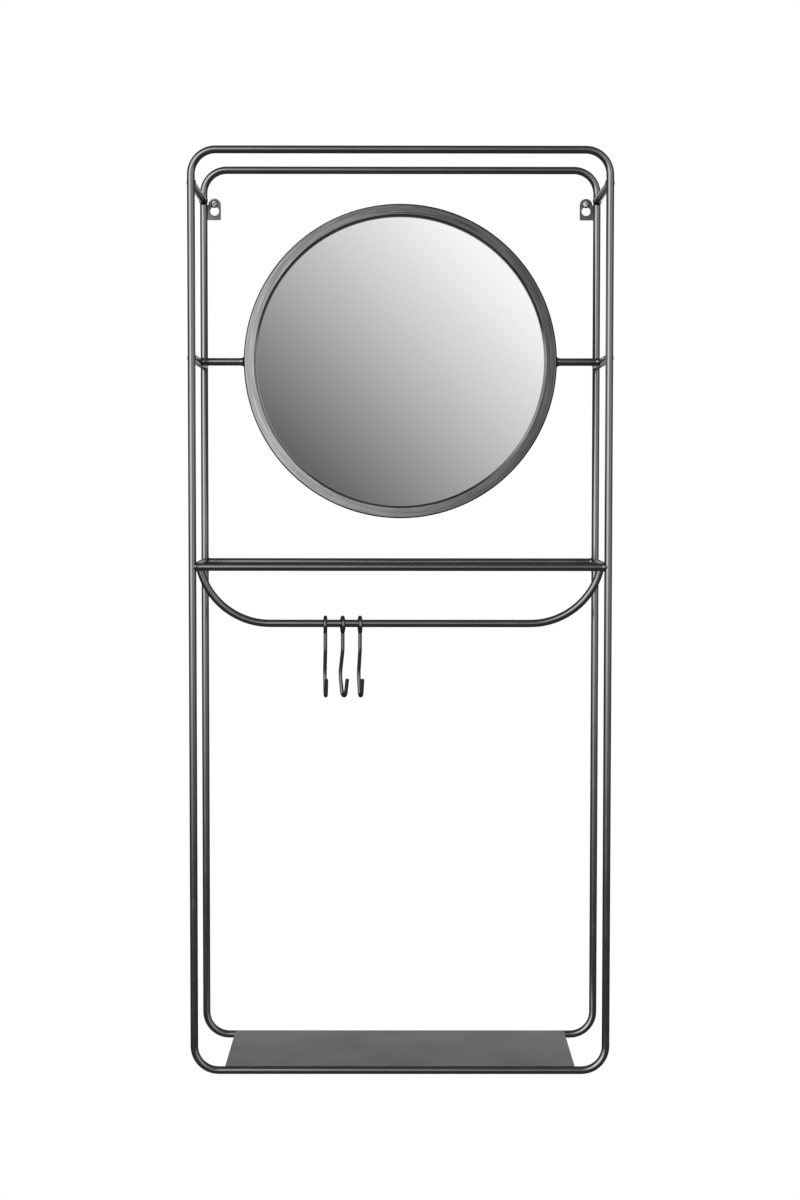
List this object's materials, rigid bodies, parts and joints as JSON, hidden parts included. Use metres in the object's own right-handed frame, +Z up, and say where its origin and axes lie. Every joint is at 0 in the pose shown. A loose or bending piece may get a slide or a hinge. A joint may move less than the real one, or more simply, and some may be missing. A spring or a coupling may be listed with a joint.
{
  "type": "wall mirror with hooks",
  "caption": "Round wall mirror held in a tall open frame of bent rod, with a sheet shelf at the bottom and wire hooks that slide on a rail.",
  "frame": {"origin": "midway between the centres of the two keyholes, on the wall plane at the back of their plates", "axes": "+Z up, +X to the right as seen from the room, +Y into the wall"},
  "size_m": [0.3656, 0.1366, 0.8],
  "materials": {
    "gunmetal_rod": "dark gunmetal plating, semi-gloss, on welded steel rod",
    "dark_sheet": "dark plated sheet steel, satin",
    "brushed_face": "dark plated steel, brushed round the ring",
    "mirror_glass": "silvered float glass",
    "backing_board": "hardboard, matt",
    "clip_steel": "zinc-plated spring steel",
    "hook_wire": "dark gunmetal plating, semi-gloss, on steel wire"
  },
  "bodies": {
    "frame": {"front_ring": "gunmetal_rod", "rear_ring": "gunmetal_rod", "top_side_bar_left": "gunmetal_rod", "top_side_bar_right": "gunmetal_rod", "mirror_side_bar_left": "gunmetal_rod", "mirror_side_bar_right": "gunmetal_rod", "shelf_side_bar_left": "gunmetal_rod", "shelf_side_bar_right": "gunmetal_rod", "shelf_front_rail": "gunmetal_rod", "shelf_rear_rail": "gunmetal_rod", "hook_rail": "gunmetal_rod", "bottom_shelf": "dark_sheet", "keyhole_plate_left": "dark_sheet", "keyhole_plate_right": "dark_sheet", "mirror_arm_left": "gunmetal_rod", "mirror_arm_right": "gunmetal_rod", "mirror_frame": "brushed_face", "mirror_glass": "mirror_glass", "mirror_backing": "backing_board", "backing_clips": "clip_steel"},
    "hook_1": {"hook_1": "hook_wire"},
    "hook_2": {"hook_2": "hook_wire"},
    "hook_3": {"hook_3": "hook_wire"}
  },
  "joints": [
    {"name": "hook_1_slide", "type": "slide", "parent": "frame", "child": "hook_1", "axis": [1, 0, 0], "range_m": [-0.0452, 0.0038]},
    {"name": "hook_2_slide", "type": "slide", "parent": "frame", "child": "hook_2", "axis": [1, 0, 0], "range_m": [-0.0038, 0.0027]},
    {"name": "hook_3_slide", "type": "slide", "parent": "frame", "child": "hook_3", "axis": [1, 0, 0], "range_m": [-0.0027, 0.1462]}
  ]
}
